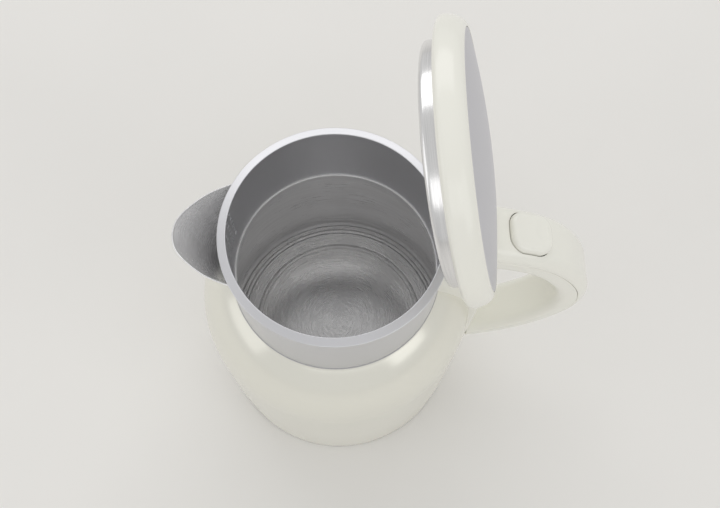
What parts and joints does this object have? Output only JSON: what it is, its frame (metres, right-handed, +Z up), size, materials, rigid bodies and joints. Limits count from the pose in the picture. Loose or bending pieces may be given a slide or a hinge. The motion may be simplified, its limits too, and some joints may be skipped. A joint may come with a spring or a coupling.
{
  "type": "electric kettle",
  "caption": "Electric kettle with a painted round body, a steel collar and pouring spout, a loop handle and a hinged sprung lid standing open.",
  "frame": {"origin": "centre of the underside, on the worktop", "axes": "+Z up the kettle's axis, -X towards the spout, +X towards the handle, +Y across"},
  "size_m": [0.2304, 0.164, 0.3553],
  "materials": {
    "cream_enamel": "gloss",
    "cream_plastic": "gloss",
    "brushed_steel": "satin",
    "satin_steel": "satin",
    "grey_silicone": "matte",
    "grey_plastic": "matte",
    "black_plastic": "matte",
    "contact_brass": "satin",
    "aluminium_plate": "satin",
    "dull_steel": "satin",
    "fastener_steel": "gloss"
  },
  "bodies": {
    "root": {"outer_shell": "cream_enamel", "neck_seal": "grey_silicone", "collar": "brushed_steel", "spout": "brushed_steel", "inner_pot": "brushed_steel", "pot_floor": "brushed_steel", "steam_pipe": "brushed_steel", "base_cover": "grey_plastic", "foot_ring": "grey_silicone", "cover_screws": "fastener_steel", "chassis": "black_plastic", "coupler_socket": "black_plastic", "coupler_contacts": "contact_brass", "control_unit": "black_plastic", "snap_disc": "dull_steel", "thermal_fuse": "black_plastic", "diffuser_plate": "aluminium_plate", "heating_element": "dull_steel", "element_terminals": "contact_brass", "handle_outer": "cream_plastic", "handle_grip": "cream_plastic", "grip_screws": "fastener_steel", "handle_mount": "cream_plastic", "mount_screws": "fastener_steel", "mount_nuts": "fastener_steel", "collar_bracket": "brushed_steel", "bracket_screws": "fastener_steel", "hinge_pin": "fastener_steel", "hinge_springs": "fastener_steel", "button_spring": "fastener_steel"},
    "release": {"release_button": "cream_plastic", "latch_arm": "black_plastic"},
    "lid": {"lid_ring": "cream_plastic", "lid_catch": "fastener_steel", "lid_plate": "satin_steel", "lid_core": "black_plastic", "lid_screws": "fastener_steel", "lid_plug": "brushed_steel", "lid_seal": "grey_silicone"}
  },
  "joints": [
    {"name": "lid_hinge", "type": "hinge", "parent": "root", "child": "lid", "pos_m": [0.07445, 0, 0.2241], "axis": [0, 1, 0], "range_deg": [-75.6, 0], "stiffness_Nm_per_rad": 0.085, "springref_deg": 34.38},
    {"name": "lid_release", "type": "slide", "parent": "root", "child": "release", "axis": [-0.3879, 0, -0.9217], "range_m": [0, 0.003], "stiffness_N_per_m": 300, "springref_m": -0.004, "deforming": ["button_spring"]}
  ]
}
